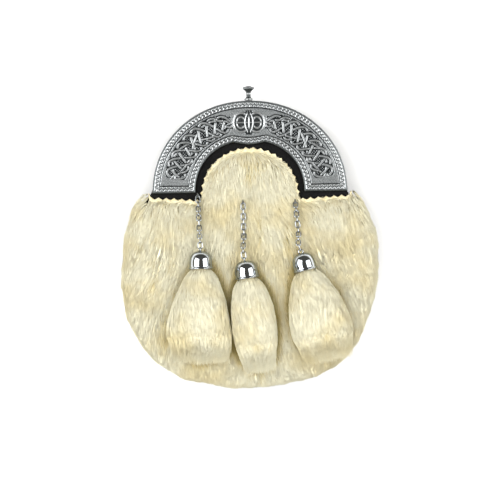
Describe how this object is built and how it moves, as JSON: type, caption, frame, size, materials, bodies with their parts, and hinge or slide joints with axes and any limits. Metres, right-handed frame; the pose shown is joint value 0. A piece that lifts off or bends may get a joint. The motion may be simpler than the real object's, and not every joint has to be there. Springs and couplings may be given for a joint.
{
  "type": "sporran pouch",
  "caption": "Rounded leather pouch with a long-haired fur front, an arched cast metal cantle and three fur tassels on chains under bell caps, lying on its back.",
  "frame": {"origin": "middle of the footprint at the height of the flat back, where the pouch lies on a surface", "axes": "+Z out of the furred front, +Y towards the cantle and its knob, +X to the right of someone who faces the front"},
  "size_m": [0.2022, 0.2356, 0.0625],
  "materials": {
    "leather_black": "fine grained black cowhide, satin",
    "fur_cream": "soft rabbit-like fur, cream, hair 15 to 25 mm long",
    "cast_metal": "cast, plated and antiqued, dark in the recesses",
    "chrome": "bright polished plating"
  },
  "bodies": {
    "root": {"back_panel": "leather_black", "gusset": "leather_black", "front_panel": "leather_black", "fur_cover": "fur_cream", "cantle": "cast_metal", "cantle_knob": "cast_metal", "belt_sleeve": "leather_black", "chain_anchor_left": "chrome", "left_link_01": "chrome", "left_link_02": "chrome", "left_link_03": "chrome", "left_link_04": "chrome", "left_link_05": "chrome", "left_link_06": "chrome", "left_link_07": "chrome", "left_link_08": "chrome", "left_link_09": "chrome", "left_link_10": "chrome", "left_link_11": "chrome", "tassel_cap_left": "chrome", "tassel_fur_left": "fur_cream", "chain_anchor_middle": "chrome", "middle_link_01": "chrome", "middle_link_02": "chrome", "middle_link_03": "chrome", "middle_link_04": "chrome", "middle_link_05": "chrome", "middle_link_06": "chrome", "middle_link_07": "chrome", "middle_link_08": "chrome", "middle_link_09": "chrome", "middle_link_10": "chrome", "middle_link_11": "chrome", "tassel_cap_middle": "chrome", "tassel_fur_middle": "fur_cream", "chain_anchor_right": "chrome", "right_link_01": "chrome", "right_link_02": "chrome", "right_link_03": "chrome", "right_link_04": "chrome", "right_link_05": "chrome", "right_link_06": "chrome", "right_link_07": "chrome", "right_link_08": "chrome", "right_link_09": "chrome", "right_link_10": "chrome", "tassel_cap_right": "chrome", "tassel_fur_right": "fur_cream"}
  },
  "joints": []
}
